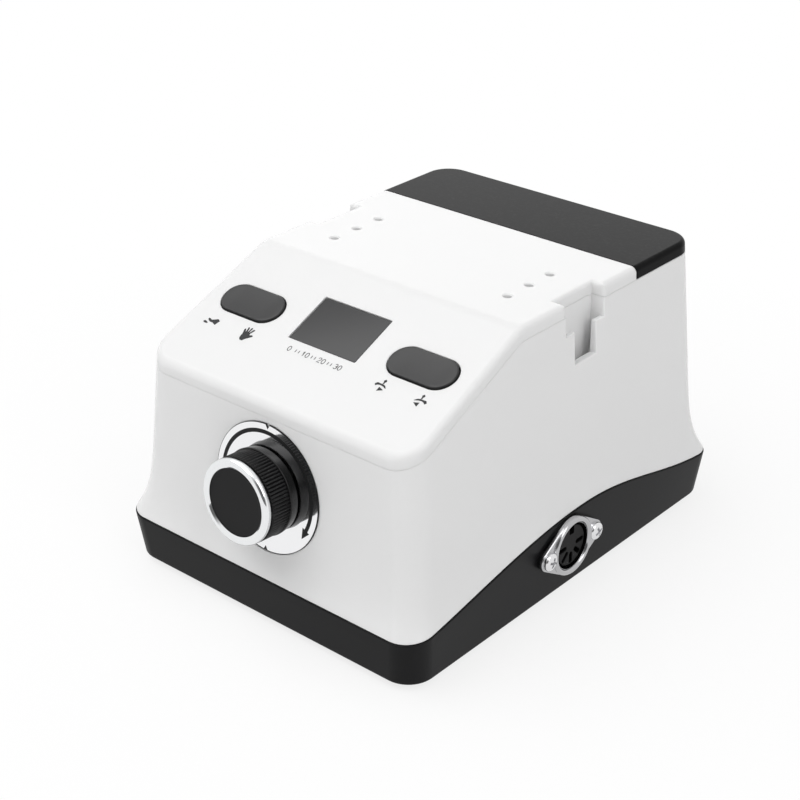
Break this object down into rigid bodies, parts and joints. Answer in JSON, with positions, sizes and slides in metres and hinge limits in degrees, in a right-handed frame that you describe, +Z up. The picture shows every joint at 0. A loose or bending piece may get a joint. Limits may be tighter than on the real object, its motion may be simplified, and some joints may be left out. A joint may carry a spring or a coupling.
{
  "type": "nail drill control box",
  "caption": "Desktop control box for a nail drill: white case with a sloped panel, dark display window, oval rockers, front speed knob, side motor socket and charcoal tray.",
  "frame": {"origin": "centre of the whole part's box, on the table plane under its feet", "axes": "+Z up, the speed knob towards -Y, the motor socket towards +X"},
  "size_m": [0.1157, 0.1568, 0.0884],
  "materials": {
    "tray_plastic": "satin charcoal moulding",
    "white_plastic": "glossy white moulding",
    "cap_plastic": "satin black moulding",
    "foot_rubber": "soft black",
    "screw_steel": "zinc plated",
    "bright_steel": "nickel plated",
    "dial_metal": "polished, with a printed arc",
    "ring_chrome": "polished",
    "knob_plastic": "matt black",
    "pot_metal": "pressed",
    "shaft_metal": "turned",
    "window_plastic": "clear dark window",
    "display_plastic": "moulded display",
    "rocker_plastic": "satin dark grey",
    "fitting_plastic": "black moulding",
    "power_plastic": "glossy black",
    "contact_brass": "plated",
    "core_steel": "stacked sheets",
    "coil_copper": "taped winding",
    "strap_steel": "bent sheet",
    "board_green": "solder mask",
    "cap_sleeve": "shrunk sleeve",
    "sink_alloy": "extruded",
    "plug_nylon": "nylon",
    "fuse_glass": "clear tube with metal clips"
  },
  "bodies": {
    "housing": {"base_tray": "tray_plastic", "body_shell": "white_plastic", "top_cover": "white_plastic", "rear_cap": "cap_plastic", "rubber_feet": "foot_rubber", "case_screws": "screw_steel", "dial_plate": "dial_metal", "pot_body": "pot_metal", "pot_nut": "bright_steel", "display_window": "window_plastic", "display_module": "display_plastic", "panel_board": "board_green", "panel_board_screws": "screw_steel", "mode_switch": "fitting_plastic", "direction_switch": "fitting_plastic", "socket_shell": "bright_steel", "socket_insert": "fitting_plastic", "socket_contacts": "contact_brass", "socket_screws": "bright_steel", "mains_inlet": "fitting_plastic", "inlet_pins": "contact_brass", "inlet_screws": "screw_steel", "power_switch": "fitting_plastic", "pedal_jack": "fitting_plastic", "pedal_jack_nut": "bright_steel", "transformer_core": "core_steel", "transformer_coil": "coil_copper", "transformer_strap": "strap_steel", "transformer_screws": "screw_steel", "control_board": "board_green", "control_board_screws": "screw_steel", "capacitors": "cap_sleeve", "heat_sink": "sink_alloy", "board_plugs": "plug_nylon", "board_fuse": "fuse_glass"},
    "speed_knob": {"knob_grip": "knob_plastic", "knob_ring": "ring_chrome", "knob_cap": "knob_plastic", "pot_shaft": "shaft_metal"},
    "mode_rocker": {"mode_rocker": "rocker_plastic"},
    "direction_rocker": {"direction_rocker": "rocker_plastic"},
    "power_rocker": {"power_rocker": "power_plastic"}
  },
  "joints": [
    {"name": "speed_turn", "type": "hinge", "parent": "housing", "child": "speed_knob", "pos_m": [-0.00136, -0.06454, 0.0429], "axis": [0, 0.9976, -0.0698], "range_deg": [0, 280]},
    {"name": "mode_tip", "type": "hinge", "parent": "housing", "child": "mode_rocker", "pos_m": [-0.03306, -0.03464, 0.07502], "axis": [0, 0.9157, 0.4019], "range_deg": [-4, 4]},
    {"name": "direction_tip", "type": "hinge", "parent": "housing", "child": "direction_rocker", "pos_m": [0.03034, -0.03464, 0.07502], "axis": [0, 0.9157, 0.4019], "range_deg": [-4, 4]},
    {"name": "power_tip", "type": "hinge", "parent": "housing", "child": "power_rocker", "pos_m": [0.02064, 0.07071, 0.06593], "axis": [0, -0.0698, 0.9976], "range_deg": [-16, 0]}
  ]
}
